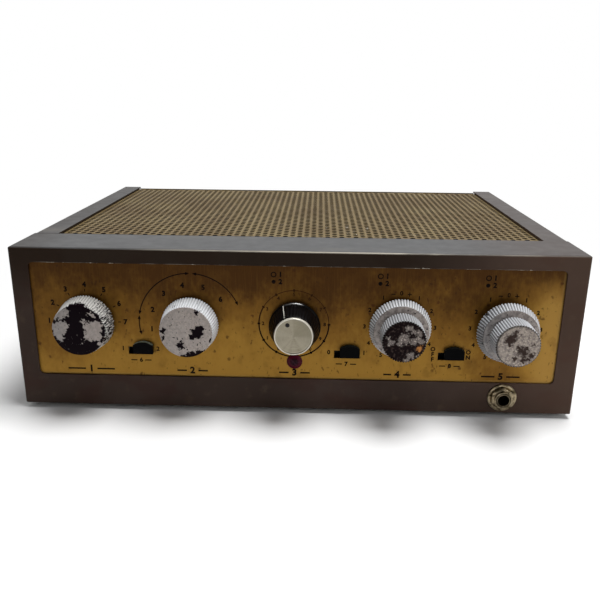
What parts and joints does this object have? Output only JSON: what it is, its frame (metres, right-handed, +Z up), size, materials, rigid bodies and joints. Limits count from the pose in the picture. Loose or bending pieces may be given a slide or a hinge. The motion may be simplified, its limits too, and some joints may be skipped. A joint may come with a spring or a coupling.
{
  "type": "tube preamplifier",
  "caption": "Table-top tube preamplifier in a folded steel case with a vented top, a brushed face plate, turning knobs, slide switches and rear phono jacks.",
  "frame": {"origin": "on the floor under the middle of the part's box, at the bottom of the feet", "axes": "+X to the right seen from the front, +Y to the back, +Z up"},
  "size_m": [0.305, 0.2562, 0.093],
  "materials": {
    "brown_paint": "satin, worn",
    "tan_paint": "satin",
    "gold_plate": "brushed, tarnished",
    "zinc_steel": "zinc plated",
    "silver_coat": "silver coat flaking off black plastic",
    "black_plastic": "gloss",
    "spun_metal": "spun",
    "nickel": "dull nickel",
    "red_lens": "gloss",
    "rubber": "matte",
    "phenolic": "matte",
    "pot_metal": "dull",
    "lamination": "varnished",
    "winding": "wrapped in varnished paper",
    "can_metal": "bright",
    "socket_moulding": "matte",
    "bulb_glass": "clear",
    "electrode": "dark grey",
    "component": "gloss"
  },
  "bodies": {
    "cabinet": {"front_frame": "brown_paint", "left_side_panel": "brown_paint", "right_side_panel": "brown_paint", "top_grille": "tan_paint", "face_plate": "gold_plate", "front_subpanel": "zinc_steel", "chassis_deck": "zinc_steel", "rear_apron": "zinc_steel", "bottom_plate": "zinc_steel", "rubber_feet": "rubber", "foot_screws": "nickel", "selector_switch": "phenolic", "mode_switch": "phenolic", "level_pot": "pot_metal", "bass_pot": "pot_metal", "treble_pot": "pot_metal", "control_nuts": "nickel", "tape_switch": "pot_metal", "loudness_switch": "pot_metal", "power_switch": "pot_metal", "switch_screws": "nickel", "pilot_lens": "red_lens", "pilot_lamp": "bulb_glass", "lamp_holder": "zinc_steel", "phone_jack": "nickel", "jack_washer": "nickel", "jack_nut": "nickel", "transformer_core": "lamination", "transformer_coil": "winding", "transformer_screws": "nickel", "filter_capacitor": "can_metal", "tube_sockets": "socket_moulding", "tube_glass": "bulb_glass", "tube_electrodes": "electrode", "terminal_board": "phenolic", "board_parts": "component", "phono_strip": "phenolic", "phono_jacks": "nickel", "mains_outlets": "black_plastic", "cord_grommet": "rubber", "rear_screws": "nickel"},
    "selector": {"selector_knob": "silver_coat", "selector_shaft": "zinc_steel"},
    "mode": {"mode_knob": "silver_coat", "mode_shaft": "zinc_steel"},
    "level": {"level_knob": "black_plastic", "level_knob_cap": "spun_metal", "level_shaft": "zinc_steel"},
    "bass_outer": {"bass_outer_knob": "silver_coat", "bass_outer_shaft": "zinc_steel"},
    "bass_inner": {"bass_inner_knob": "silver_coat", "bass_inner_shaft": "zinc_steel"},
    "treble_outer": {"treble_outer_knob": "silver_coat", "treble_outer_shaft": "zinc_steel"},
    "treble_inner": {"treble_inner_knob": "silver_coat", "treble_inner_shaft": "zinc_steel"},
    "tape": {"tape_slider": "black_plastic"},
    "loudness": {"loudness_slider": "black_plastic"},
    "power": {"power_slider": "black_plastic"}
  },
  "joints": [
    {"name": "selector_turn", "type": "hinge", "parent": "cabinet", "child": "selector", "pos_m": [-0.1136, -0.1038, 0.0518], "axis": [0, 1, 0], "range_deg": [-90, 90]},
    {"name": "mode_turn", "type": "hinge", "parent": "cabinet", "child": "mode", "pos_m": [-0.0572, -0.1038, 0.0518], "axis": [0, 1, 0], "range_deg": [-60, 90]},
    {"name": "level_turn", "type": "hinge", "parent": "cabinet", "child": "level", "pos_m": [-0.0008, -0.1038, 0.0518], "axis": [0, 1, 0], "range_deg": [-123, 177]},
    {"name": "bass_outer_turn", "type": "hinge", "parent": "cabinet", "child": "bass_outer", "pos_m": [0.0556, -0.1038, 0.0518], "axis": [0, 1, 0], "range_deg": [-150, 150]},
    {"name": "bass_inner_turn", "type": "hinge", "parent": "cabinet", "child": "bass_inner", "pos_m": [0.0556, -0.1038, 0.0518], "axis": [0, 1, 0], "range_deg": [-150, 150]},
    {"name": "treble_outer_turn", "type": "hinge", "parent": "cabinet", "child": "treble_outer", "pos_m": [0.112, -0.1038, 0.0518], "axis": [0, 1, 0], "range_deg": [-150, 150]},
    {"name": "treble_inner_turn", "type": "hinge", "parent": "cabinet", "child": "treble_inner", "pos_m": [0.112, -0.1038, 0.0518], "axis": [0, 1, 0], "range_deg": [-150, 150]},
    {"name": "tape_slide", "type": "slide", "parent": "cabinet", "child": "tape", "axis": [1, 0, 0], "range_m": [-0.0036, 0]},
    {"name": "loudness_slide", "type": "slide", "parent": "cabinet", "child": "loudness", "axis": [1, 0, 0], "range_m": [-0.0036, 0]},
    {"name": "power_slide", "type": "slide", "parent": "cabinet", "child": "power", "axis": [1, 0, 0], "range_m": [-0.0036, 0]}
  ]
}
